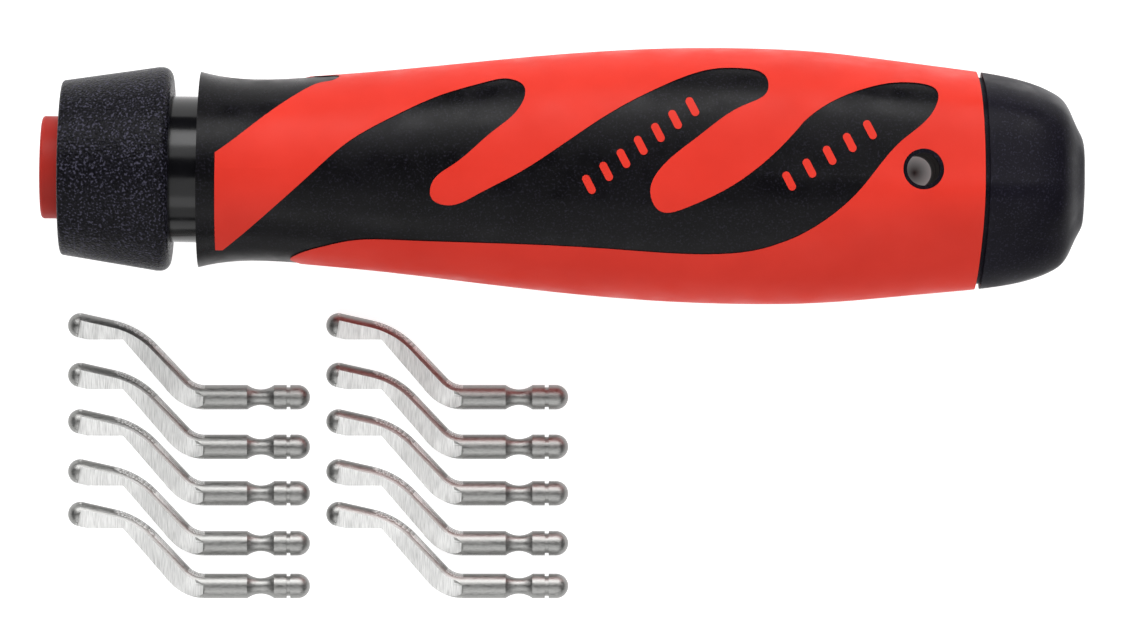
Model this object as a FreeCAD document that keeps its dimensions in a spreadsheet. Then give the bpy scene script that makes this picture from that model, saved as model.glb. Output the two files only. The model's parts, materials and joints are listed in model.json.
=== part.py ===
"""Deburring tool: a two-colour handle with a quick-release blade socket, and ten spare blades.

The handle lies on its side along X, with the mouth of the blade socket at the origin and the butt at +X.
+Z is up. The blades lie flat on the same floor, on the -Y side of the handle.
"""
import FreeCAD, Part
import math
import os
import re
import Sketcher
from FreeCAD import Placement, Rotation, Vector

# ---------------------------------------------------------------- driving dimensions, in mm and degrees
SIZES = [
    ("handle_length", 133.7, "nose face to butt face"),
    ("nose_length", 2.45, "thickness of the red nose cap"),
    ("nose_radius", 6.6, "nose cap"),
    ("nose_round", 0.45, "rounding of the nose cap's rim"),
    ("collar_gap", 0.05, "collar to nose cap, at rest"),
    ("collar_length", 14.2, "release collar"),
    ("collar_front_radius", 11.2, "release collar, front rim"),
    ("collar_rear_radius", 13.1, "release collar, rear rim"),
    ("collar_rim", 1.8, "straight rim behind the collar's cone"),
    ("collar_front_round", 0.5, "rounding of the collar's front rim"),
    ("collar_rear_round", 1.3, "rounding of the collar's rear rim"),
    ("collar_web_length", 6.5, "solid front part of the collar that holds the cam"),
    ("collar_travel", 3.2, "how far the collar pulls back"),
    ("neck_radius", 9.4, "neck sleeve"),
    ("neck_embed", 12.0, "neck sleeve inside the grip"),
    ("neck_spare", 0.4, "neck still showing between collar and grip when the collar is pulled right back"),
    ("running_gap", 0.08, "radial clearance of the sliding fits"),
    ("sleeve_gap", 0.3, "end clearance left when the collar is pulled right back"),
    ("socket_radius", 1.625, "bore for the blade shank"),
    ("socket_depth", 12.5, "nose face to the stop plug"),
    ("socket_mouth", 3.8, "plain stretch of the socket in front of its chip groove"),
    ("chip_groove_width", 1.1, "groove in the socket that takes up chips"),
    ("chip_groove_depth", 0.2, "groove in the socket that takes up chips"),
    ("stop_radius", 2.2, "stop plug and the hole behind the socket"),
    ("spindle_nose_radius", 3.3, "spindle in front of its shoulder"),
    ("spindle_radius", 4.0, "spindle behind its shoulder"),
    ("spindle_end", 52.0, "rear end of the spindle"),
    ("spindle_rib_radius", 5.6, "ribs that key the spindle into the grip"),
    ("spindle_rib_length", 3.0, "length of each of those ribs"),
    ("spindle_rib_setback", 2.0, "neck sleeve to the first rib"),
    ("ball_radius", 1.25, "lock balls"),
    ("ball_place", 6.1, "nose face to the ring of lock balls"),
    ("ball_stand", 0.775, "socket wall to ball centre, locked"),
    ("ball_gap", 0.03, "clearance round a lock ball"),
    ("ball_lip_step", 0.15, "small end of a ball hole, less than the ball's radius by this"),
    ("ball_lip_gap", 0.066, "locked ball to the step of its hole"),
    ("cam_slope", 0.17, "ball travel per mm of collar travel"),
    ("spring_cup_radius", 7.3, "spring cup in the neck sleeve"),
    ("spring_seat", 20.0, "nose face to the bottom of the spring cup"),
    ("spring_radius", 5.6, "collar spring, mean radius"),
    ("spring_wire", 0.35, "collar spring, wire radius"),
    ("spring_turns", 6, "collar spring, turns"),
    ("washer_thickness", 0.6, "both spring washers"),
    ("stop_length", 3.5, "stop plug behind the socket"),
    ("snap_wire", 0.35, "nose snap ring, wire radius"),
    ("snap_ring_sweep", 330.0, "open snap ring, degrees of wire"),
    ("neck_ring_wire", 0.6, "neck seal ring, section radius"),
    ("neck_ring_setback", 2.0, "front end of the neck sleeve to its seal ring"),
    ("flange_radius", 12.7, "front flange of the grip"),
    ("flange_ring", 2.4, "width of the black band round the front flange"),
    ("waist_place", 27.0, "narrowest section, from the nose face"),
    ("waist_radius", 11.8, "narrowest section"),
    ("belly_place", 89.7, "fullest section, from the nose face"),
    ("belly_half_width", 16.5, "fullest section, side to side"),
    ("belly_half_depth", 13.3, "fullest section, back to front"),
    ("belly_rise", 0.2, "sideways set of the fullest section"),
    ("cap_length", 13.0, "end cap, from its joint on the axis to the butt face"),
    ("seam_half_width", 13.9, "section at the cap joint, side to side"),
    ("seam_half_depth", 12.3, "section at the cap joint, back to front"),
    ("seam_bow_radius", 136.0, "bowed cap joint, seen from above"),
    ("shoulder_half_width", 11.75, "where the butt starts to round, side to side"),
    ("shoulder_half_depth", 10.6, "where the butt starts to round, back to front"),
    ("butt_length", 4.4, "length of the rounded butt"),
    ("lobe_depth", 0.3, "height of the six soft lobes at the butt"),
    ("lobe_turn", -13.0, "turn of the first lobe from straight up"),
    ("skin", 1.7, "thickness of the soft black overmold"),
    ("overmold_inset", 0.12, "step from the hard surface down to the soft one"),
    ("groove_width", 0.65, "shadow groove beside the cap joint"),
    ("groove_depth", 0.7, "shadow groove beside the cap joint"),
    ("spigot_radius", 8.5, "end cap spigot"),
    ("spigot_length", 4.9, "end cap spigot"),
    ("spigot_root", 1.5, "spigot carried on into the cap behind its joint"),
    ("cap_hollow_radius", 5.6, "hollow in the end cap"),
    ("cap_hollow_depth", 11.0, "hollow in the end cap, from the spigot's end"),
    ("cap_ring_wire", 0.75, "cap friction ring, section radius"),
    ("cap_ring_setback", 2.2, "end of the spigot to the friction ring"),
    ("hang_setback", 7.9, "hanging hole in front of the cap joint"),
    ("hang_offset", 1.2, "hanging hole above the axis"),
    ("hang_radius", 2.1, "hanging hole"),
    ("bush_wall", 0.5, "hanging hole bush"),
    ("bush_recess", 0.55, "bush ends below the grip surface"),
    ("shank_radius", 1.6, "blade shank"),
    ("shank_length", 13.5, "blade shank up to the first bend"),
    ("blade_neck_radius", 1.02, "waist of the blade shank that the balls lock into"),
    ("blade_neck_place", 6.4, "shank end to the middle of that waist"),
    ("blade_neck_half", 1.75, "half the length of that waist"),
    ("blade_ring_radius", 1.3, "bottom of the small ring groove"),
    ("blade_ring_place", 2.8, "shank end to the small ring groove"),
    ("blade_ring_half", 0.25, "half the width of the small ring groove"),
    ("blade_corner_one", 15.6, "shank end to the first corner of the bend"),
    ("blade_corner_run", 7.4, "first to second corner, along the shank"),
    ("blade_corner_rise", 7.8, "first to second corner, across the shank"),
    ("blade_nose_run", 6.9, "second corner to the nose centre, along the shank"),
    ("blade_nose_rise", 1.55, "second corner to the nose centre, across the shank"),
    ("blade_bend_one", 4.5, "radius of the first bend"),
    ("blade_bend_two", 9.5, "radius of the second bend"),
    ("ground_high", 0.65, "cutting face, inner edge above the centre line"),
    ("ground_low", 0.2, "cutting face, height left at the cutting edge"),
    ("ground_flank", 0.3, "cutting face carried on below the centre plane, outside the blade"),
    ("relief_height", 7.5, "relief behind the nose, above the shank's axis"),
    ("relief_lead", 1.3, "second corner to the head of the relief's slanting wall"),
    ("relief_foot", 4.3, "second corner back to the foot of that wall"),
    ("relief_run", 6.0, "relief past the second corner, along the shank"),
    ("relief_depth", 6.5, "height of that wall, from its foot to its head"),
    ("runout_slope", 0.45, "rise of the cutting face's run-out towards the shank"),
    ("runout_tilt", 0.3, "rise of the same run-out across the shank"),
    ("runout_gap", 0.1, "end of the plain shank to the tip of the run-out"),
    ("blade_turn", 0.85, "turn of the laid-out blades against the handle"),
    ("blade_column", 34.5, "nose face to the shank ends of the first column"),
    ("blade_column_step", 33.6, "first to second column"),
    ("blade_row", -29.2, "handle axis to the first blade's shank"),
]

# ---------------------------------------------------------------- laws of the handle's form
FLARE = 1.6  # power of the swell from waist to belly and of the taper behind it
BUTT_POWER = 2.4  # squareness of the rounded butt, seen from above
BUTT_OVERRUN = 1.045  # rounded butt is cut off flat a little before it closes
BELLY_SQUARENESS = 0.28  # how far the belly's section is from an oval
LOBES = 6
LOBE_START = 62.0  # where the soft lobes begin, from the nose face
SECTION_POINTS = 24
FORM_STATIONS = (0, .02, .06, .13, .24, .38, .52, .66, .8, .9, 1)
BUTT_STATIONS = (.3, .6, .82, 1)

BALLS = 3
SPRING_POINTS = 12  # points of the spring's line in one turn
ROW_STEPS = (6.45, 6.05, 6.5, 5.55)  # from one laid-out blade to the next, across the shanks
BLADE_CLEAR = 4.0  # reach of the grinding cuts beyond a blade's centre line
BLOCK = 30.0  # reach of cutting blocks beyond the handle's axis
CLOSE = 1e-4  # two lengths nearer than this are the same
BLADE_COLUMNS = 2

doc = FreeCAD.newDocument("deburring_tool")
sheet = doc.addObject("Spreadsheet::Sheet", "sizes")
for row, (alias, value, meaning) in enumerate(SIZES, 1):
    sheet.set("A%d" % row, meaning)
    sheet.set("B%d" % row, str(value))
    sheet.setAlias("B%d" % row, alias)
doc.recompute()
ALIASES = [entry[0] for entry in SIZES]


def size(alias):
    """Value of one driving dimension."""
    return float(sheet.get(alias))


def linked(text):
    """Expression with every alias pointed at the sheet."""
    return re.sub(r"[a-z_]+", lambda word: "sizes." + word[0] if word[0] in ALIASES else word[0], text)


def value(text):
    """Number of an expression in the driving dimensions."""
    return float(sheet.evalExpression(linked(text)))


def bind(item, **links):
    """Bind properties of an object to expressions in the driving dimensions."""
    for name, text in links.items():
        item.setExpression(name, linked(text))
    return item


# ---------------------------------------------------------------- PartDesign helpers
def new_body(name):
    body = doc.addObject("PartDesign::Body", name)
    body.Label = name
    return body


def sketch_on(body, role, name):
    """Sketch on one of the body's own origin planes."""
    sketch = body.newObject("Sketcher::SketchObject", name)
    plane = [item for item in body.Origin.OriginFeatures if item.Role == role][0]
    sketch.AttachmentSupport = [(plane, "")]
    sketch.MapMode = "FlatFace"
    return sketch


def draw_outline(sketch, corners):
    """Closed straight-sided outline whose corners are pairs of expressions, each tied to the origin."""
    links = [(linked(a), linked(b)) for a, b in corners]
    points = [Vector(sheet.evalExpression(a), sheet.evalExpression(b), 0) for a, b in links]
    count = len(points)
    for index in range(count):
        sketch.addGeometry(Part.LineSegment(points[index], points[(index + 1) % count]), False)
    for index in range(count):
        sketch.addConstraint(Sketcher.Constraint("Coincident", index, 2, (index + 1) % count, 1))
    for index in range(count):
        for kind, value, link in (("DistanceX", points[index].x, links[index][0]),
                                  ("DistanceY", points[index].y, links[index][1])):
            if abs(value) < CLOSE:
                axis = -2 if kind == "DistanceX" else -1
                sketch.addConstraint(Sketcher.Constraint("PointOnObject", index, 1, axis))
                continue
            number = sketch.addConstraint(Sketcher.Constraint(kind, -1, 1, index, 1, value))
            sketch.setExpression("Constraints[%d]" % number, link)


def turned(name, corners):
    """Body turned about the handle's axis from an outline of (place along X, radius) corners."""
    body = new_body(name)
    sketch = sketch_on(body, "XY_Plane", name + "_outline")
    draw_outline(sketch, corners)
    turning = body.newObject("PartDesign::Revolution", name + "_turned")
    turning.Profile = sketch
    turning.ReferenceAxis = (sketch, ["H_Axis"])
    turning.Angle = 360
    doc.recompute()
    return body


def rounded(body, name, rims, radius):
    """Fillet round rims given as (place, radius) expressions."""
    shape = body.Tip.Shape
    wanted = [(sheet.evalExpression(linked(a)), sheet.evalExpression(linked(b))) for a, b in rims]
    edges = []
    for index, edge in enumerate(shape.Edges, 1):
        if not isinstance(edge.Curve, Part.Circle):
            continue
        for place, rim in wanted:
            if abs(edge.Curve.Center.x - place) < CLOSE and abs(edge.Curve.Radius - rim) < CLOSE:
                edges.append("Edge%d" % index)
    fillet = body.newObject("PartDesign::Fillet", name)
    fillet.Base = (body.Tip if body.Tip != fillet else fillet.BaseFeature, edges)
    bind(fillet, Radius=radius)
    doc.recompute()
    return fillet


def ball_hole(body, name, start, radius):
    """Round pocket standing out from the axis, upwards from the given height."""
    sketch = sketch_on(body, "XY_Plane", name + "_outline")
    sketch.setExpression("AttachmentOffset.Base.z", linked(start))
    x, r = value("ball_place"), value(radius)
    sketch.addGeometry(Part.Circle(Vector(x, 0, 0), Vector(0, 0, 1), r), False)
    sketch.addConstraint(Sketcher.Constraint("PointOnObject", 0, 3, -1))
    number = sketch.addConstraint(Sketcher.Constraint("DistanceX", -1, 1, 0, 3, x))
    sketch.setExpression("Constraints[%d]" % number, linked("ball_place"))
    number = sketch.addConstraint(Sketcher.Constraint("Radius", 0, r))
    sketch.setExpression("Constraints[%d]" % number, linked(radius))
    pocket = body.newObject("PartDesign::Pocket", name)
    pocket.Profile = sketch
    pocket.Reversed = True
    bind(pocket, Length="collar_rear_radius")
    doc.recompute()
    return pocket


def ring(name, place, mean_radius, section, sweep=360):
    """Round-section ring about the handle's axis."""
    item = doc.addObject("Part::Torus", name)
    item.Label = name
    item.Angle3 = sweep
    bind(item, Radius1=mean_radius, Radius2=section)
    item.Placement = Placement(Vector(0, 0, 0), Rotation(Vector(0, 1, 0), 90))
    item.setExpression("Placement.Base.x", linked(place))
    return item


# ---------------------------------------------------------------- outer form of the handle
def half_size(x, belly, seam, shoulder):
    """Half size of the handle's section at x, given its belly, cap joint and butt shoulder sizes."""
    waist_place, belly_place, waist = size("waist_place"), size("belly_place"), size("waist_radius")
    shoulder_place = size("handle_length") - size("butt_length")
    if x < waist_place:
        share = (waist_place - x) / (waist_place - grip_start)
        return waist + (size("flange_radius") - waist) * share ** 2
    if x < belly_place:
        share = (x - waist_place) / (belly_place - waist_place)
        return waist + (belly - waist) * math.sin(math.pi / 2 * share) ** FLARE
    if x < seam_place:
        share = (x - belly_place) / (seam_place - belly_place)
        return belly - (belly - seam) * share ** FLARE
    slope = FLARE * (belly - seam) / (seam_place - belly_place)
    reach = shoulder_place - seam_place
    bend = (seam - slope * reach - shoulder) / reach ** 2
    run = x - seam_place
    straight = seam - slope * run - bend * run ** 2
    if x <= shoulder_place:
        return straight
    share = min((x - shoulder_place) / (size("butt_length") * BUTT_OVERRUN), 1.0)
    return straight * (1 - share ** BUTT_POWER) ** (1 / BUTT_POWER)


def section_wire(x, inset=0.0):
    """Closed smooth section at x: round at the flange, a squarish oval at the belly, lobed at the butt."""
    half_width = half_size(x, size("belly_half_width"), size("seam_half_width"), size("shoulder_half_width"))
    half_depth = half_size(x, size("belly_half_depth"), size("seam_half_depth"), size("shoulder_half_depth"))
    fullness = math.sin(math.pi * min(max((x - grip_start) / (size("handle_length") - grip_start), 0), 1))
    power = 2 + BELLY_SQUARENESS * fullness
    swell = min(max((x - LOBE_START) / (seam_place - LOBE_START), 0), 1)
    lobe = size("lobe_depth") * swell ** 2 * (3 - 2 * swell)
    lobe *= min(half_depth / size("shoulder_half_depth"), 1)
    points = []
    for step in range(SECTION_POINTS):
        angle = 2 * math.pi * step / SECTION_POINTS
        across, up = math.sin(angle), math.cos(angle)
        reach = (abs(across / half_width) ** power + abs(up / half_depth) ** power) ** (-1 / power)
        reach += lobe * math.cos(LOBES * (angle - math.radians(size("lobe_turn")))) - inset
        points.append(Vector(x, reach * across + size("belly_rise") * fullness, reach * up))
    curve = Part.BSplineCurve()
    curve.interpolate(Points=points, PeriodicFlag=True)
    return Part.Wire([curve.toShape()])


def handle_form(inset=0.0, setback=0.0):
    """Solid through the sections from flange to butt, inset from the surface and set back in front."""
    shoulder = size("handle_length") - size("butt_length")
    front = grip_start + setback
    body = [front + (shoulder - front) * share for share in FORM_STATIONS]
    butt = [shoulder + size("butt_length") * share for share in BUTT_STATIONS]
    return Part.makeLoft([section_wire(x, inset) for x in body + butt], True, False)


neck_gap = "collar_travel + neck_spare"
ball_height = "(socket_radius + ball_stand)"
ball_lip_radius = "(ball_radius - ball_lip_step)"
ball_lip_height = ball_height + " - sqrt(ball_radius^2 - %s^2) - ball_lip_gap" % ball_lip_radius
bush_radius = size("hang_radius") + size("bush_wall")
grip_start = size("nose_length") + size("collar_gap") + size("collar_length") + value(neck_gap)
seam_place = size("handle_length") - size("cap_length")
collar_front = "nose_length + collar_gap"
grip_front = "nose_length + collar_gap + collar_length + " + neck_gap
collar_back = "nose_length + collar_gap + collar_length"
web_back = "nose_length + collar_gap + collar_web_length"
sleeve_front = web_back + " + collar_travel + sleeve_gap"
sleeve_back = grip_front + " + neck_embed"
neck_ring_place = sleeve_front + " + neck_ring_setback"
neck_ring_middle = "neck_radius + running_gap * 0.5 - neck_ring_wire"


cam_at_balls = "(%s + (ball_radius + ball_gap) / cos(atan(cam_slope)))" % ball_height
cam_front = cam_at_balls + " - cam_slope * (%s - ball_place)" % collar_front
cam_end = "ball_place + (%s - spindle_nose_radius - running_gap) / cam_slope" % cam_at_balls
rib_front = sleeve_back + " + spindle_rib_setback"
rib_back = rib_front + " + spindle_rib_length"
last_rib = "spindle_end - spindle_rib_length"
groove_back = "socket_mouth + chip_groove_width"
groove_bottom = "socket_radius + chip_groove_depth"

whole_form = handle_form()
core_form = handle_form(size("skin"), size("skin"))


def seam_drum(extra):
    """Tall round block whose +X wall is the bowed cap joint, moved outwards by extra."""
    radius = size("seam_bow_radius")
    centre = Vector(seam_place - radius, 0, -BLOCK)
    return Part.makeCylinder(radius + extra, 2 * BLOCK, centre)


# ---------------------------------------------------------------- black and red pattern of the grip
# Each outline is seen from above and given as places along the handle and heights across it.
FRONT_PATCH = [(2.4, 2.0), (7.5, 6.0), (13.3, 10.2), (15.6, 11.3), (17.5, 11.85), (17.8, 12.12), (16.6, 12.3),
               (14.5, 12.5)]
FINGER_ONE = [(3.3, -10.4), (9.2, -5.5), (15.0, -.2), (19.3, 3.6), (25.1, 7.0), (31.0, 9.8), (36.8, 11.6),
              (39.8, 12.0), (41.6, 11.0), (41.2, 8.6), (37.8, 5.3), (32.6, .8), (30.1, -1.4), (30.0, -3.4),
              (32.0, -4.3), (35.6, -3.0), (41.3, .1), (47.8, 4.5)]
FINGER_TWO = [(47.8, 4.5), (53.6, 8.4), (59.5, 11.5), (65.3, 13.6), (69.4, 13.8), (72.4, 12.7), (72.6, 11.0),
              (69.8, 9.1), (63.9, 5.0), (59.0, .7), (57.8, -2.2), (59.0, -4.6), (62.6, -4.1), (68.5, -1.1),
              (74.2, 3.6), (77.1, 6.9)]
FINGER_THREE = [(77.1, 6.9), (80.0, 9.2), (85.6, 11.6), (91.2, 12.3), (94.3, 11.1), (94.0, 9.2), (89.7, 4.8),
                (84.4, -1.6), (80.2, -5.4), (74.4, -8.5)]
LOWER_EDGE = [(74.4, -8.5), (71.5, -9.4), (66.5, -10.0), (53.9, -9.6), (41.5, -9.1), (26.0, -8.8),
              (19.5, -9.0), (15.6, -9.9), (12.6, -10.9), (11.9, -11.4), (12.6, -11.8), (14.5, -12.4)]
MARK_ROWS = [((50.0, -1.4), (63.0, 8.7), 7), ((75.4, -.6), (85.6, 6.1), 5)]
MARK_LENGTH = 2.6
MARK_WIDTH = 1.0
MARK_LEAN = 118.0


def flowing(points):
    """Smooth edge through points given from the front of the grip."""
    curve = Part.BSplineCurve()
    curve.interpolate([Vector(grip_start + x, y, 0) for x, y in points])
    return curve.toShape()


def straight(points):
    """Straight edges joining points given from the front of the grip."""
    joined = [Vector(grip_start + x, y, 0) for x, y in points]
    return [Part.LineSegment(a, b).toShape() for a, b in zip(joined, joined[1:])]


def upright_block(edges):
    """Closed outline raised from the axis to above the grip."""
    return Part.Face(Part.Wire(edges)).extrude(Vector(0, 0, BLOCK))


def mark_bar(centre, angle):
    """Small round-ended bar standing upright, one of a plain row of bars on the grip."""
    half, end = MARK_LENGTH / 2 - MARK_WIDTH / 2, MARK_WIDTH / 2
    bar = Part.makeBox(2 * half, MARK_WIDTH, BLOCK, Vector(-half, -end, 0))
    for side in (-half, half):
        bar = bar.fuse(Part.makeCylinder(end, BLOCK, Vector(side, 0, 0)))
    bar.Placement = Placement(Vector(grip_start + centre[0], centre[1], 0), Rotation(Vector(0, 0, 1), angle))
    return bar


def mark_bars():
    """The plain bars, in two rows."""
    bars = []
    for first, last, count in MARK_ROWS:
        for step in range(count):
            share = step / (count - 1)
            bars.append(mark_bar([a + (b - a) * share for a, b in zip(first, last)], MARK_LEAN))
    return bars


def pattern_blocks():
    """Blocks that take the soft black areas out of the grip: front band, front patch and flames."""
    under_band = size("flange_ring") / 2
    start, end = FRONT_PATCH[0], FRONT_PATCH[-1]
    patch = upright_block([flowing(FRONT_PATCH)] + straight([
        end, (end[0], BLOCK), (under_band, BLOCK), (under_band, start[1]), start]))
    start, end = FINGER_ONE[0], LOWER_EDGE[-1]
    edges = [flowing(points) for points in (FINGER_ONE, FINGER_TWO, FINGER_THREE, LOWER_EDGE)]
    edges += straight([end, (end[0], -BLOCK), (under_band, -BLOCK), (under_band, start[1]), start])
    flames = upright_block(edges)
    band_start = Vector(grip_start - BLOCK, -BLOCK, -BLOCK)
    band = Part.makeBox(size("flange_ring") + BLOCK, 2 * BLOCK, 2 * BLOCK, band_start)
    undersides = [block.rotated(Vector(), Vector(1, 0, 0), 180) for block in (patch, flames)]
    return [band, patch, flames] + undersides


# ---------------------------------------------------------------- fixed pieces of the handle
def solid_part(name, shape):
    """Sub-part whose form comes from the handle's own sections."""
    item = doc.addObject("Part::Feature", name)
    item.Label = name
    item.Shape = shape
    item.Placement = Placement()
    return item


def round_bar(start, end, radius):
    """Round bar about the handle's axis."""
    return Part.makeCylinder(radius, end - start, Vector(start, 0, 0), Vector(1, 0, 0))


sleeve_hole = round_bar(grip_start - BLOCK, value(sleeve_back), size("neck_radius"))
spigot_front = seam_place - size("spigot_length") - size("sleeve_gap")
spigot_hole = round_bar(spigot_front, size("handle_length"), size("spigot_radius") + size("running_gap"))
hang_place = seam_place - size("hang_setback")
hang_centre = Vector(hang_place, size("hang_offset"), -BLOCK)
bush_hole = Part.makeCylinder(bush_radius, 2 * BLOCK, hang_centre)

bars = mark_bars()
soft_form = handle_form(size("overmold_inset"))
soft_pieces = []
grip_shape = whole_form.common(seam_drum(0))
for block in pattern_blocks():
    soft_pieces.append(soft_form.common(block).cut(core_form))
    hollow_piece = whole_form.common(block).cut(core_form)
    for bar in bars:
        hollow_piece = hollow_piece.cut(bar)
    grip_shape = grip_shape.cut(hollow_piece)
soft_shape = soft_pieces[0].fuse(soft_pieces[1:]).cut(sleeve_hole)
for bar in bars:
    soft_shape = soft_shape.cut(bar)

turned("spindle", [
    ("0", "socket_radius"), ("0", "spindle_nose_radius"),
    ("nose_length * 0.5 - snap_wire", "spindle_nose_radius"),
    ("nose_length * 0.5 - snap_wire", "spindle_nose_radius - snap_wire"),
    ("nose_length * 0.5 + snap_wire", "spindle_nose_radius - snap_wire"),
    ("nose_length * 0.5 + snap_wire", "spindle_nose_radius"),
    ("spring_seat", "spindle_nose_radius"), ("spring_seat", "spindle_radius"),
    (rib_front, "spindle_radius"), (rib_front, "spindle_rib_radius"),
    (rib_back, "spindle_rib_radius"), (rib_back, "spindle_radius"),
    (last_rib, "spindle_radius"), (last_rib, "spindle_rib_radius"),
    ("spindle_end", "spindle_rib_radius"), ("spindle_end", "stop_radius"),
    ("socket_depth", "stop_radius"), ("socket_depth", "socket_radius"),
    (groove_back, "socket_radius"), (groove_back, groove_bottom),
    ("socket_mouth", groove_bottom), ("socket_mouth", "socket_radius")])


def around(body, name, features, count):
    """Repeat features evenly round the handle's axis."""
    pattern = body.newObject("PartDesign::PolarPattern", name)
    pattern.Originals = features
    pattern.Axis = ([item for item in body.Origin.OriginFeatures if item.Role == "X_Axis"][0], [""])
    pattern.Angle = 360
    pattern.Occurrences = count
    body.Tip = pattern
    doc.recompute()


spindle = doc.getObject("spindle")
solid_volume = spindle.Shape.Volume
lip = ball_hole(spindle, "ball_lip", "0", ball_lip_radius)
seat = ball_hole(spindle, "ball_seat", ball_lip_height, "ball_radius + ball_gap")
around(spindle, "ball_holes", [lip, seat], BALLS)
assert spindle.Shape.Volume < solid_volume - 1, "ball holes cut nothing"

turned("stop_plug", [
    ("socket_depth", "0"), ("socket_depth", "stop_radius"),
    ("socket_depth + stop_length", "stop_radius"), ("socket_depth + stop_length", "0")])

turned("neck_sleeve", [
    (sleeve_front, "spring_cup_radius"), (sleeve_front, "neck_radius"),
    (neck_ring_place + " - neck_ring_wire", "neck_radius"),
    (neck_ring_place + " - neck_ring_wire", neck_ring_middle + " - neck_ring_wire"),
    (neck_ring_place + " + neck_ring_wire", neck_ring_middle + " - neck_ring_wire"),
    (neck_ring_place + " + neck_ring_wire", "neck_radius"),
    (sleeve_back, "neck_radius"), (sleeve_back, "spindle_radius"),
    ("spring_seat", "spindle_radius"), ("spring_seat", "spring_cup_radius")])
ring("neck_seal_ring", neck_ring_place, neck_ring_middle, "neck_ring_wire")

nose = turned("nose_cap", [
    ("0", "spindle_nose_radius"), ("0", "nose_radius"), ("nose_length", "nose_radius"),
    ("nose_length", "spindle_nose_radius"),
    ("nose_length * 0.5 + snap_wire", "spindle_nose_radius"),
    ("nose_length * 0.5 + snap_wire", "spindle_nose_radius + snap_wire"),
    ("nose_length * 0.5 - snap_wire", "spindle_nose_radius + snap_wire"),
    ("nose_length * 0.5 - snap_wire", "spindle_nose_radius")])
rounded(nose, "nose_edge", [("0", "nose_radius")], "nose_round")
ring("nose_snap_ring", "nose_length * 0.5", "spindle_nose_radius", "snap_wire", size("snap_ring_sweep"))

turned("rear_spring_washer", [
    ("spring_seat - washer_thickness", "spindle_nose_radius + running_gap"),
    ("spring_seat - washer_thickness", "spring_cup_radius - running_gap"),
    ("spring_seat", "spring_cup_radius - running_gap"),
    ("spring_seat", "spindle_nose_radius + running_gap")])

# ---------------------------------------------------------------- release collar and what moves with it
collar = turned("release_collar", [
    (collar_front, cam_front), (collar_front, "collar_front_radius"),
    (collar_back + " - collar_rim", "collar_rear_radius"), (collar_back, "collar_rear_radius"),
    (collar_back, "neck_radius + running_gap"), (web_back, "neck_radius + running_gap"),
    (web_back, "spindle_nose_radius + running_gap"),
    (cam_end, "spindle_nose_radius + running_gap")])
rounded(collar, "collar_front_edge", [(collar_front, "collar_front_radius")], "collar_front_round")
rounded(collar, "collar_rear_edge", [(collar_back, "collar_rear_radius")], "collar_rear_round")
turned("front_spring_washer", [
    (web_back, "spindle_nose_radius + running_gap"), (web_back, "spring_cup_radius - running_gap"),
    (web_back + " + washer_thickness", "spring_cup_radius - running_gap"),
    (web_back + " + washer_thickness", "spindle_nose_radius + running_gap")])

spring_start = value(web_back + " + washer_thickness") + size("spring_wire")
spring_end = value("spring_seat - washer_thickness") - size("spring_wire")
coil_radius = size("spring_radius")
coil_points = []
for step in range(int(size("spring_turns") * SPRING_POINTS) + 1):
    turn = 2 * math.pi * step / SPRING_POINTS
    place = spring_start + (spring_end - spring_start) * step / (size("spring_turns") * SPRING_POINTS)
    coil_points.append(Vector(place, math.cos(turn) * coil_radius, math.sin(turn) * coil_radius))
coil_line = Part.BSplineCurve()
coil_line.interpolate(coil_points)
coil_heading = coil_line.tangent(coil_line.FirstParameter)[0]
wire_end = Part.makeCircle(size("spring_wire"), coil_points[0], coil_heading)
coil = Part.Wire([coil_line.toShape()]).makePipeShell([Part.Wire([wire_end])], True, True)
spring = doc.addObject("Part::Feature", "collar_spring")
spring.Label = "collar_spring"
spring.Shape = coil

for number in range(BALLS):
    spin = 2 * math.pi * number / BALLS
    ball = doc.addObject("Part::Sphere", "lock_ball_%d" % (number + 1))
    ball.Label = ball.Name
    bind(ball, Radius="ball_radius")
    ball.setExpression("Placement.Base.x", linked("ball_place"))
    ball.setExpression("Placement.Base.y", linked(ball_height + " * %.9f" % -math.sin(spin)))
    ball.setExpression("Placement.Base.z", linked(ball_height + " * %.9f" % math.cos(spin)))

# ---------------------------------------------------------------- grip, bush and end cap
rib_radius = size("spindle_rib_radius")
spindle_hole = round_bar(value("spring_seat"), size("spindle_end"), size("spindle_radius"))
spindle_hole = spindle_hole.fuse([round_bar(value(rib_front), value(rib_back), rib_radius),
                                  round_bar(value(last_rib), size("spindle_end"), rib_radius)])
for hole in (sleeve_hole, spigot_hole, bush_hole, spindle_hole):
    grip_shape = grip_shape.cut(hole)
solid_part("grip_core", grip_shape)
solid_part("grip_overmold", soft_shape)

bush_top = half_size(hang_place, *[size(name + "_half_depth") for name in ("belly", "seam", "shoulder")])
bush_half = bush_top - size("bush_recess")
bush_foot = Vector(hang_place, size("hang_offset"), -bush_half)
bush = Part.makeCylinder(bush_radius, 2 * bush_half, bush_foot)
bush = bush.cut(Part.makeCylinder(size("hang_radius"), 2 * BLOCK, hang_centre))
solid_part("hang_hole_bush", bush)

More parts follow.
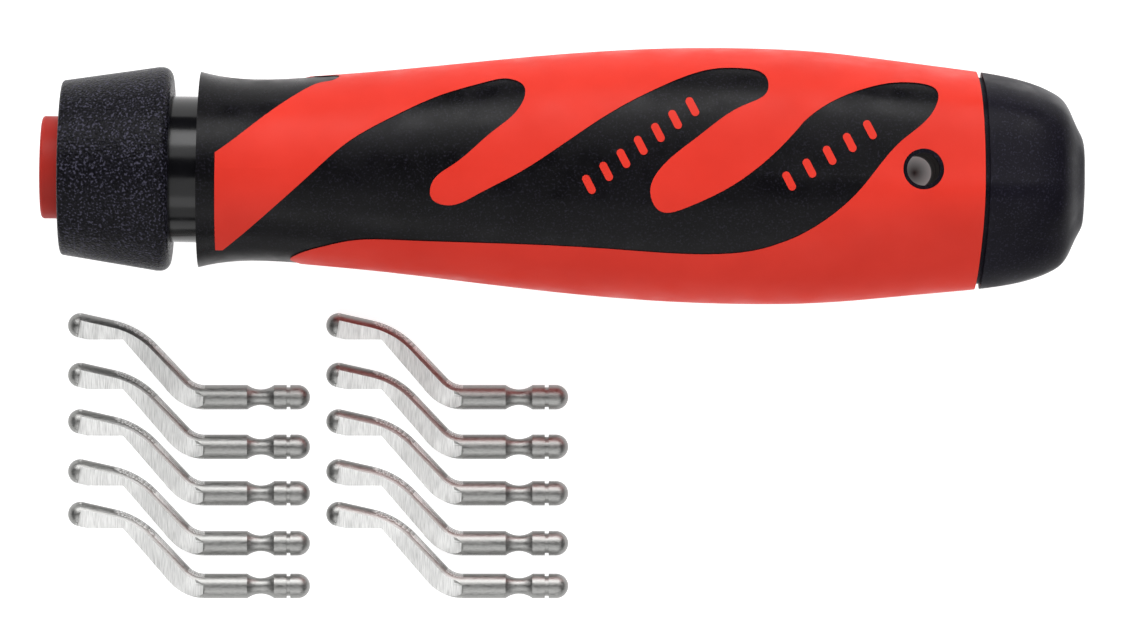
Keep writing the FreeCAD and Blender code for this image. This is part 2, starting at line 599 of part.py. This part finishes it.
spigot_start = seam_place - size("spigot_length")
cap_joint = size("running_gap")
cap_skin = whole_form.cut(seam_drum(size("groove_width")))
cap_throat = handle_form(size("groove_depth")).cut(seam_drum(cap_joint))
cap_throat = cap_throat.common(seam_drum(size("groove_width")))
ring_place = spigot_start + size("cap_ring_setback")
ring_middle = size("spigot_radius") - size("cap_ring_wire") + size("running_gap") / 2
ring_bottom = ring_middle - size("cap_ring_wire")
ring_groove = round_bar(ring_place - size("cap_ring_wire"), ring_place + size("cap_ring_wire"), BLOCK).cut(
    round_bar(0, size("handle_length"), ring_bottom))
spigot = round_bar(spigot_start, seam_place + size("spigot_root"), size("spigot_radius")).cut(ring_groove)
hollow = round_bar(spigot_start, spigot_start + size("cap_hollow_depth"), size("cap_hollow_radius"))
solid_part("end_cap", cap_skin.fuse([cap_throat, spigot]).cut(hollow))
friction_ring = doc.addObject("Part::Feature", "cap_friction_ring")
friction_ring.Label = "cap_friction_ring"
ring_centre = Vector(ring_place, 0, 0)
friction_ring.Shape = Part.makeTorus(ring_middle, size("cap_ring_wire"), ring_centre, Vector(1, 0, 0))


# ---------------------------------------------------------------- blades
def bend_path():
    """Centre line of a blade, from its shank through both bends to its nose, with the shank end at 0."""
    first = Vector(-size("blade_corner_one"), 0, 0)
    second = first + Vector(-size("blade_corner_run"), size("blade_corner_rise"), 0)
    tip = second + Vector(-size("blade_nose_run"), size("blade_nose_rise"), 0)
    start = Vector(-size("shank_length"), 0, 0)
    bends = []
    for before, corner, after, radius in ((start, first, second, size("blade_bend_one")),
                                          (first, second, tip, size("blade_bend_two"))):
        inward, outward = (before - corner).normalize(), (after - corner).normalize()
        half = (math.pi - inward.getAngle(outward)) / 2
        reach = radius * math.tan(half)
        middle = (inward + outward).normalize()
        centre = corner + middle * (radius / math.cos(half))
        bends.append((corner + inward * reach, centre - middle * radius, corner + outward * reach))
    (a, b, c), (d, e, f) = bends
    return [Part.LineSegment(start, a), Part.Arc(a, b, c), Part.LineSegment(c, d), Part.Arc(d, e, f),
            Part.LineSegment(f, tip)], tip


def runout_block():
    """Block above the slanting plane along which the cutting face rises out of the shank."""
    slope, tilt = size("runout_slope"), size("runout_tilt")
    block = Part.makeBox(4 * BLOCK, 4 * BLOCK, BLOCK, Vector(-2 * BLOCK, -2 * BLOCK, 0))
    tip_height = size("shank_radius") * math.sqrt(1 + tilt ** 2)
    tip = Vector(-size("shank_length") - size("runout_gap"), 0, tip_height)
    block.Placement = Placement(tip, Rotation(Vector(0, 0, 1), Vector(-slope, -tilt, 1)))
    return block


def blade_rod():
    """Bent and ground part of a blade, from the end of its shank to its rounded nose."""
    edges, tip = bend_path()
    path = Part.Wire([edge.toShape() for edge in edges])
    start = Vector(-size("shank_length"), 0, 0)
    radius = size("shank_radius")
    disc = Part.Wire([Part.makeCircle(radius, start, Vector(-1, 0, 0))])
    rod = path.makePipeShell([disc], True, False)
    rod = rod.fuse(Part.makeSphere(radius, tip))
    high, low = size("ground_high"), size("ground_low")
    top = math.sqrt(radius ** 2 - high ** 2)
    ground = Part.makePolygon([start + Vector(0, high, top), start + Vector(0, high, BLADE_CLEAR),
                               start + Vector(0, -BLADE_CLEAR, BLADE_CLEAR),
                               start + Vector(0, -BLADE_CLEAR, -size("ground_flank")),
                               start + Vector(0, -radius, low), start + Vector(0, high, top)])
    wheel = path.makePipeShell([ground], True, False)
    rod = rod.cut(wheel.common(runout_block()))
    level, bottom = size("relief_height"), size("relief_height") - size("relief_depth")
    corner = -size("blade_corner_one") - size("blade_corner_run")
    head, foot, far = corner - size("relief_lead"), corner + size("relief_foot"), corner - size("relief_run")
    outline = [Vector(head, level, 0), Vector(far, level, 0), Vector(far, bottom, 0), Vector(foot, bottom, 0)]
    relief = Part.Face(Part.makePolygon(outline + outline[:1])).extrude(Vector(0, 0, 2 * BLADE_CLEAR))
    relief.translate(Vector(0, 0, -BLADE_CLEAR))
    return rod.cut(relief)


def blade_shank():
    """Round shank with its domed end, ring groove and the waist that the lock balls drop into."""
    radius, ring_bottom = size("shank_radius"), size("blade_ring_radius")
    neck, middle, half = size("blade_neck_radius"), -size("blade_neck_place"), size("blade_neck_half")
    ring_middle, ring_half = -size("blade_ring_place"), size("blade_ring_half")
    flat = [Vector(-radius, radius, 0), Vector(ring_middle + ring_half, radius, 0),
            Vector(ring_middle + ring_half, ring_bottom, 0), Vector(ring_middle - ring_half, ring_bottom, 0),
            Vector(ring_middle - ring_half, radius, 0), Vector(middle + half, radius, 0)]
    dome = Part.Arc(Vector(0, 0, 0), Vector(radius * (math.sqrt(.5) - 1), radius * math.sqrt(.5), 0), flat[0])
    waist = Part.Arc(flat[-1], Vector(middle, neck, 0), Vector(middle - half, radius, 0))
    back = [Vector(middle - half, radius, 0), Vector(-size("shank_length"), radius, 0),
            Vector(-size("shank_length"), 0, 0), Vector(0, 0, 0)]
    edges = [dome.toShape()] + [Part.makeLine(a, b) for a, b in zip(flat, flat[1:])] + [waist.toShape()]
    edges += [Part.makeLine(a, b) for a, b in zip(back, back[1:])]
    return Part.Face(Part.Wire(edges)).revolve(Vector(0, 0, 0), Vector(1, 0, 0), 360)


blade_form = blade_rod().fuse(blade_shank()).removeSplitter()
floor_level = whole_form.optimalBoundingBox(False, False).ZMin
rows = len(ROW_STEPS) + 1
layout = Rotation(Vector(0, 0, 1), size("blade_turn"))
for column in range(BLADE_COLUMNS):
    for row in range(rows):
        name = "blade_%02d" % (column * rows + row + 1)
        blade = doc.addObject("Part::Feature", name)
        blade.Label = name
        blade.Shape = blade_form
        place = layout.multVec(Vector(column * size("blade_column_step"), -sum(ROW_STEPS[:row]), 0))
        place += Vector(size("blade_column"), size("blade_row"), floor_level + size("shank_radius"))
        blade.Placement = Placement(place, layout)

# ---------------------------------------------------------------- checks and output
doc.recompute()
NODES = ["grip_core", "grip_overmold", "neck_sleeve", "neck_seal_ring", "spindle", "stop_plug", "nose_cap",
         "nose_snap_ring", "rear_spring_washer", "release_collar", "front_spring_washer", "collar_spring",
         "lock_ball_1", "lock_ball_2", "lock_ball_3", "hang_hole_bush", "end_cap", "cap_friction_ring"]
NODES += ["blade_%02d" % number for number in range(1, BLADE_COLUMNS * rows + 1)]
for item in doc.Objects:
    faults = [state for state in item.State if state in ("Invalid", "Error")]
    assert not faults, "%s is %s" % (item.Name, faults)
os.makedirs("parts", exist_ok=True)
for name in NODES:
    shape = doc.getObject(name).Shape
    assert not shape.isNull() and shape.isValid(), name
    print("%-22s solids %d volume %.2f z %.3f..%.3f" % (name, len(shape.Solids), shape.Volume,
                                                        shape.BoundBox.ZMin, shape.BoundBox.ZMax))
    shape.exportStep("parts/%s.step" % name)
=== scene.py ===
"""Looks of the deburring tool: materials, blades with ground faces, floor, lights and camera."""

import json
import math

import bmesh
import bpy
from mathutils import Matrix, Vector


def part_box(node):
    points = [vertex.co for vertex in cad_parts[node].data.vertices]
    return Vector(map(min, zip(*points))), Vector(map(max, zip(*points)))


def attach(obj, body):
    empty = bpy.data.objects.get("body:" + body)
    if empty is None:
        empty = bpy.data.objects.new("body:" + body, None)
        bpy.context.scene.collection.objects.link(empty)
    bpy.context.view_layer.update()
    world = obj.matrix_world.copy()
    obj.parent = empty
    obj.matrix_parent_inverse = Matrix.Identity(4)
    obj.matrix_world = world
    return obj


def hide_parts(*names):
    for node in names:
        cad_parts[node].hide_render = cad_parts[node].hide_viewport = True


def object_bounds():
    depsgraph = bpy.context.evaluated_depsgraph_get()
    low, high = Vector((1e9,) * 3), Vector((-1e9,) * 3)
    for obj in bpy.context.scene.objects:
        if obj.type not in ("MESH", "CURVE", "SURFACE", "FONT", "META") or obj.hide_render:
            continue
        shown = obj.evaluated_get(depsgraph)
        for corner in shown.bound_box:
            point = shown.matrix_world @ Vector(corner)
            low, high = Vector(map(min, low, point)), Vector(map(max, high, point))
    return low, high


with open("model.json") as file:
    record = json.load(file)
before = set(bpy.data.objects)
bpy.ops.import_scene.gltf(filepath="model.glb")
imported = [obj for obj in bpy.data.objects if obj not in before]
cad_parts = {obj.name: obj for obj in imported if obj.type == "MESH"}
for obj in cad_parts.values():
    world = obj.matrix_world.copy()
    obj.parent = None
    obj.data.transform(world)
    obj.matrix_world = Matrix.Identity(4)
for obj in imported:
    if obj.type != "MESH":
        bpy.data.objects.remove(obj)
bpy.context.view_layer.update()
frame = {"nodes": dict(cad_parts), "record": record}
MM = 0.001
MOTTLE = 9 * MM
SPECK_SIZE = 0.26 * MM
COLLAR_SPECK_SIZE = 0.3 * MM
SPECK_SHARE = 0.56
COLLAR_SPECK_SHARE = 0.55
SPECK_EDGE = 0.14
SPECULAR = "Specular IOR Level"


# ---------------------------------------------------------------- node helpers
def new_material(name, color, roughness, metallic=0.0):
    """Principled material; returns it with its tree, shader and object coordinates."""
    material = bpy.data.materials.new(name)
    material.use_nodes = True
    tree = material.node_tree
    shader = tree.nodes["Principled BSDF"]
    shader.inputs["Base Color"].default_value = (*color, 1)
    shader.inputs["Roughness"].default_value = roughness
    shader.inputs["Metallic"].default_value = metallic
    place = tree.nodes.new("ShaderNodeTexCoord").outputs["Object"]
    return material, tree, shader, place


def set_specular(material, level):
    """Strength of the mirror-like part of a plastic's shine."""
    material.node_tree.nodes["Principled BSDF"].inputs[SPECULAR].default_value = level
    return material


def noise(tree, place, grain, detail=2.0, stretch=None):
    """Noise whose features are about grain metres across, stretched along the axes if asked."""
    if stretch:
        mapping = tree.nodes.new("ShaderNodeMapping")
        mapping.inputs["Scale"].default_value = stretch
        tree.links.new(place, mapping.inputs["Vector"])
        place = mapping.outputs["Vector"]
    node = tree.nodes.new("ShaderNodeTexNoise")
    node.inputs["Scale"].default_value = 1 / grain
    node.inputs["Detail"].default_value = detail
    tree.links.new(place, node.inputs["Vector"])
    return node.outputs["Fac"]


def ramp(tree, factor, stops):
    """Colour ramp through (position, colour) stops."""
    node = tree.nodes.new("ShaderNodeValToRGB")
    elements = node.color_ramp.elements
    for index, (position, color) in enumerate(stops):
        element = elements[index] if index < 2 else elements.new(position)
        element.position = position
        element.color = (*color, 1) if len(color) == 3 else (color[0], color[0], color[0], 1)
    tree.links.new(factor, node.inputs["Fac"])
    return node.outputs["Color"]


def bump(tree, shader, heights):
    """Stack bumps of (height socket, strength, distance in metres) on a shader."""
    normal = None
    for height, strength, distance in heights:
        node = tree.nodes.new("ShaderNodeBump")
        node.inputs["Strength"].default_value = strength
        node.inputs["Distance"].default_value = distance
        tree.links.new(height, node.inputs["Height"])
        if normal:
            tree.links.new(normal, node.inputs["Normal"])
        normal = node.outputs["Normal"]
    tree.links.new(normal, shader.inputs["Normal"])


def glint_speckled(tree, place, color, glint_color, grain, share):
    """Colour with small bright specks: painted glints, standing for the facets of a grained moulding
    catching light.
    """
    mix = tree.nodes.new("ShaderNodeMix")
    mix.data_type = "RGBA"
    under, over = [socket for socket in mix.inputs if socket.type == "RGBA"]
    mixed, = [socket for socket in mix.outputs if socket.type == "RGBA"]
    # The bright specks are painted glints, mixed into the colour.
    glint_mask = ramp(tree, noise(tree, place, grain, 1), [(share, (0.0,)), (share + SPECK_EDGE, (1.0,))])
    tree.links.new(glint_mask, mix.inputs[0])
    tree.links.new(color, under)
    over.default_value = (*glint_color, 1)
    return mixed


def worn_plastic(name, dark, light, roughness, grain, grain_depth, spread=0.1, painted_glint=None):
    """Moulded plastic: cloudy colour, uneven gloss, a fine moulded grain and, if given, painted glints.
    """
    material, tree, shader, place = new_material(name, light, roughness)
    cloud = noise(tree, place, MOTTLE, 3)
    color = ramp(tree, cloud, [(0.3, dark), (0.7, light)])
    # Optional bright specks: painted glints of the grain's facets.
    if painted_glint:
        color = glint_speckled(tree, place, color, painted_glint, SPECK_SIZE, SPECK_SHARE)
    tree.links.new(color, shader.inputs["Base Color"])
    rubbed = noise(tree, place, 4 * MM, 4)
    gloss = ramp(tree, rubbed, [(0.3, (roughness - spread,)), (0.7, (roughness + spread,))])
    tree.links.new(gloss, shader.inputs["Roughness"])
    fine = noise(tree, place, grain, 2)
    bump(tree, shader, [(fine, 0.5, grain_depth), (noise(tree, place, 2.5 * MM, 2), 0.15, 0.02 * MM)])
    return material


def red_plastic(name, dark, light):
    """Hard red moulding that lets a little light in."""
    material = set_specular(worn_plastic(name, dark, light, 0.44, 0.2 * MM, 0.007 * MM), 0.08)
    shader = material.node_tree.nodes["Principled BSDF"]
    shader.inputs["Subsurface Weight"].default_value = 0.04
    shader.inputs["Subsurface Radius"].default_value = (0.6 * MM, 0.2 * MM, 0.1 * MM)
    return material


def soft_black():
    """Soft black skin of the grip."""
    # The speck colour below is a painted glint of the grain's facets.
    material = worn_plastic("soft_black", (0.0022, 0.0021, 0.0026), (0.0040, 0.0037, 0.0048), 0.32,
                            0.17 * MM, 0.008 * MM, painted_glint=(0.012, 0.0112, 0.0165))
    return set_specular(material, 0.1)


def cap_black():
    """Slightly bluish black of the end cap."""
    # The speck colour below is a painted glint of the grain's facets.
    material = worn_plastic("cap_black", (0.0050, 0.0045, 0.0075), (0.0085, 0.0078, 0.0125), 0.40,
                            0.22 * MM, 0.009 * MM, painted_glint=(0.017, 0.016, 0.026))
    return set_specular(material, 0.06)


def sparked_black():
    """Coarse spark-eroded texture, whose tiny facets sparkle: real bumps and uneven gloss, plus painted
    glints in the colour.
    """
    material, tree, shader, place = new_material("sparked_black", (0.0065, 0.0062, 0.0085), 0.36)
    cell = tree.nodes.new("ShaderNodeTexVoronoi")
    cell.inputs["Scale"].default_value = 1 / (0.36 * MM)
    tree.links.new(place, cell.inputs["Vector"])
    coarse = noise(tree, place, 0.55 * MM, 4)
    bump(tree, shader, [(cell.outputs["Distance"], 0.9, 0.07 * MM), (coarse, 0.8, 0.1 * MM)])
    facets = noise(tree, place, COLLAR_SPECK_SIZE, 1)
    tree.links.new(ramp(tree, facets, [(0.4, (0.26,)), (0.65, (0.46,))]), shader.inputs["Roughness"])
    cloud = noise(tree, place, 0.4 * MM, 3)
    color = ramp(tree, cloud, [(0.35, (0.0028, 0.0027, 0.0036)), (0.7, (0.0075, 0.0072, 0.0105))])
    # Bright specks in the colour: painted glints of the eroded facets.
    painted_sparkle = glint_speckled(tree, place, color, (0.05, 0.048, 0.072), COLLAR_SPECK_SIZE, COLLAR_SPECK_SHARE)
    tree.links.new(painted_sparkle, shader.inputs["Base Color"])
    return set_specular(material, 0.06)


def gloss_black():
    """Polished black of the sleeve between grip and collar."""
    material = worn_plastic("gloss_black", (0.003, 0.003, 0.0038), (0.005, 0.005, 0.0062), 0.16,
                            0.3 * MM, 0.002 * MM, 0.04)
    return set_specular(material, 0.3)


def rubber():
    """Dull black of the sealing and friction rings."""
    return worn_plastic("seal_rubber", (0.005, 0.005, 0.005), (0.009, 0.009, 0.009), 0.55,
                        0.2 * MM, 0.01 * MM)


def turned_steel(name, color, roughness):
    """Steel with fine turning rings about the handle's axis."""
    material, tree, shader, place = new_material(name, color, roughness, 1.0)
    rings = noise(tree, place, 0.12 * MM, 2, (1, 0.02, 0.02))
    tree.links.new(ramp(tree, rings, [(0.3, (roughness - 0.08,)), (0.7, (roughness + 0.12,))]),
                   shader.inputs["Roughness"])
    bump(tree, shader, [(rings, 0.4, 0.006 * MM)])
    return material


def blade_round():
    """Satin steel of a blade's round rod, with faint drawing marks."""
    material, tree, shader, place = new_material("blade_round", (0.50, 0.50, 0.495), 0.34, 1.0)
    marks = noise(tree, place, 0.25 * MM, 4, (0.35, 1, 1))
    tree.links.new(ramp(tree, marks, [(0.25, (0.22, 0.22, 0.215)), (0.75, (0.36, 0.36, 0.35))]),
                   shader.inputs["Base Color"])
    tree.links.new(ramp(tree, marks, [(0.3, (0.36,)), (0.7, (0.52,))]), shader.inputs["Roughness"])
    bump(tree, shader, [(marks, 0.5, 0.005 * MM)])
    return material


def blade_ground():
    """Cutting face, ground straight across the blade, with real grinding marks; its brightness is a
    painted reflection: pale, only partly metal steel that looks bright under any light.
    """
    material, tree, shader, place = new_material("blade_ground", (0.86, 0.86, 0.85), 0.42, 0.35)
    marks = noise(tree, place, 0.09 * MM, 3, (1, 0.05, 0.05))
    broad = noise(tree, place, 0.5 * MM, 2, (1, 0.06, 0.06))
    # Pale base colour with little metal: a painted reflection that keeps the ground face bright.
    tree.links.new(ramp(tree, marks, [(0.25, (0.44, 0.44, 0.435)), (0.62, (0.78, 0.78, 0.77))]),
                   shader.inputs["Base Color"])
    tree.links.new(ramp(tree, broad, [(0.3, (0.34,)), (0.7, (0.5,))]), shader.inputs["Roughness"])
    bump(tree, shader, [(marks, 0.35, 0.006 * MM)])
    return material


def dress(node, material):
    """Put one material in every slot of a CAD node."""
    for slot in frame["nodes"][node].material_slots:
        slot.material = material


# ---------------------------------------------------------------- materials of the CAD nodes
MATERIALS = {
    "red_plastic": red_plastic("red_moulding", (0.585, 0.030, 0.018), (0.645, 0.037, 0.023)),
    "soft_black": soft_black(),
    "gloss_black": gloss_black(),
    "sparked_black": sparked_black(),
    "cap_black": cap_black(),
    "seal_rubber": rubber(),
    "machined_steel": turned_steel("machined_steel", (0.5, 0.5, 0.5), 0.3),
    "spring_steel": turned_steel("spring_steel", (0.34, 0.34, 0.35), 0.35),
    "ball_steel": turned_steel("ball_steel", (0.7, 0.7, 0.7), 0.15),
    "blade_steel": blade_round(),
}
for entry in frame["record"]["subparts"]:
    dress(entry["node"], MATERIALS[entry["material_slot"]])
# Darker copy of the red for the nose: painted shade, as the nose sits recessed.
dress("nose_cap", red_plastic("nose_red_painted_shade", (0.34, 0.022, 0.016), (0.40, 0.028, 0.021)))


# ---------------------------------------------------------------- blades whose ground faces carry a painted reflection
SHANK_RADIUS = 1.6 * MM
SHANK_LENGTH = 13.5 * MM
GROUND_DEPTH = 0.03 * MM
FACES_UP = 0.25
WELD = 0.0001 * MM
SHARP_EDGE = math.radians(24)


def is_ground(face, axis_height, shank_start):
    """A ground face lies deeper than the round rod would with the same slope."""
    middle = face.calc_center_median()
    if middle.x > shank_start or face.normal.z < FACES_UP:
        return False
    return middle.z - axis_height < SHANK_RADIUS * face.normal.z - GROUND_DEPTH


def finished_blade(node, round_steel, ground_sheen_steel):
    """Copy of a blade's own mesh with its cutting face in the ground finish, whose brightness is a
    painted reflection.
    """
    low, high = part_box(node)
    mesh = frame["nodes"][node].data.copy()
    mesh.name = node + "_finished"
    mesh.materials.clear()
    mesh.materials.append(round_steel)
    mesh.materials.append(ground_sheen_steel)
    shape = bmesh.new()
    shape.from_mesh(mesh)
    bmesh.ops.remove_doubles(shape, verts=shape.verts, dist=WELD)
    axis_height = low[2] + SHANK_RADIUS
    shank_start = high[0] - SHANK_LENGTH
    for face in shape.faces:
        face.material_index = 1 if is_ground(face, axis_height, shank_start) else 0
        face.smooth = True
    for edge in shape.edges:
        edge.smooth = len(edge.link_faces) == 2 and edge.calc_face_angle() < SHARP_EDGE
    shape.to_mesh(mesh)
    shape.free()
    blade = bpy.data.objects.new(node + "_finished", mesh)
    bpy.context.collection.objects.link(blade)
    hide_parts(node)
    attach(blade, node + "_body")


ROUND_STEEL, GROUND_SHEEN_STEEL = MATERIALS["blade_steel"], blade_ground()
for number in range(1, 11):
    finished_blade("blade_%02d" % number, ROUND_STEEL, GROUND_SHEEN_STEEL)


# ---------------------------------------------------------------- floor, lights and camera
FLOOR_GLOW = 0.95
FLOOR_GAP = 0.02 * MM
FLOOR_SIZE = 6
# Radii of the painted shade spot under the hanging hole: no glow at the first, full glow from the
# second.
HOLE_SHADE_RADIUS = 0.0028
HOLE_SHADE_FADE_END = 0.006
PICTURE_MIDDLE = (67.2 * MM, -18.6 * MM)


def bright_floor(hole_place):
    """White floor that glows evenly, except for a painted shade spot under the hanging hole."""
    material, tree, shader, place = new_material("floor_white", (0.35, 0.35, 0.35), 0.9)
    set_specular(material, 0.1)
    shader.inputs["Emission Color"].default_value = (1, 1, 1, 1)
    mapping = tree.nodes.new("ShaderNodeMapping")
    mapping.inputs["Location"].default_value = (-hole_place[0], -hole_place[1], 0)
    tree.links.new(place, mapping.inputs["Vector"])
    spread = tree.nodes.new("ShaderNodeVectorMath")
    spread.operation = "LENGTH"
    tree.links.new(mapping.outputs["Vector"], spread.inputs[0])
    # The glow drops to nothing around the hole's place: a painted shade spot, so the hole looks dark
    # inside.
    glow_with_painted_shade = ramp(tree, spread.outputs["Value"], [(HOLE_SHADE_RADIUS, (0.0,)), (HOLE_SHADE_FADE_END, (FLOOR_GLOW,))])
    tree.links.new(glow_with_painted_shade, shader.inputs["Emission Strength"])
    return material


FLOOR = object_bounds()[0][2] - FLOOR_GAP
CENTRE = Vector((*PICTURE_MIDDLE, FLOOR))
bush_low, bush_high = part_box("hang_hole_bush")
HOLE = [(bush_low[axis] + bush_high[axis]) / 2 for axis in range(2)]
bpy.ops.mesh.primitive_plane_add(size=FLOOR_SIZE, location=(0, 0, FLOOR))
floor = bpy.context.object
floor.name = "floor"
floor.data.materials.append(bright_floor(HOLE))


def softbox(name, place, target, width, height, power):
    """Rectangular soft light turned towards a target."""
    data = bpy.data.lights.new(name, "AREA")
    data.shape = "RECTANGLE"
    data.size = width
    data.size_y = height
    data.energy = power
    lamp = bpy.data.objects.new(name, data)
    lamp.location = place
    lamp.rotation_euler = (Vector(target) - Vector(place)).to_track_quat("-Z", "Y").to_euler()
    bpy.context.collection.objects.link(lamp)


softbox("far_softbox", CENTRE + Vector((0, 0.6, 0.5)), CENTRE, 1.2, 0.36, 6)
softbox("near_fill", CENTRE + Vector((-0.1, -0.78, 0.4)), CENTRE, 1.2, 0.6, 2.4)
softbox("top_far", CENTRE + Vector((0, 1.1, 1.4)), CENTRE, 3, 1.3, 22)
softbox("top_near", CENTRE + Vector((0, -1.1, 1.4)), CENTRE, 3, 1.6, 20)

world = bpy.data.worlds.new("studio")
world.use_nodes = True
world.node_tree.nodes["Background"].inputs["Color"].default_value = (1, 1, 1, 1)
world.node_tree.nodes["Background"].inputs["Strength"].default_value = 0.02
bpy.context.scene.world = world

CAMERA_TURN = math.radians(0.85)
CAMERA_HEIGHT = 1.0
PICTURE_WIDTH = 144.7 * MM
SENSOR_WIDTH = 36
camera_data = bpy.data.cameras.new("camera")
camera_data.sensor_width = SENSOR_WIDTH
camera_data.lens = SENSOR_WIDTH * CAMERA_HEIGHT / PICTURE_WIDTH
camera_data.clip_end = 10
camera = bpy.data.objects.new("camera", camera_data)
camera.location = (CENTRE.x, CENTRE.y, CAMERA_HEIGHT)
camera.rotation_euler = (0, 0, CAMERA_TURN)
bpy.context.collection.objects.link(camera)
bpy.context.scene.camera = camera
bpy.context.scene.view_settings.view_transform = "Standard"
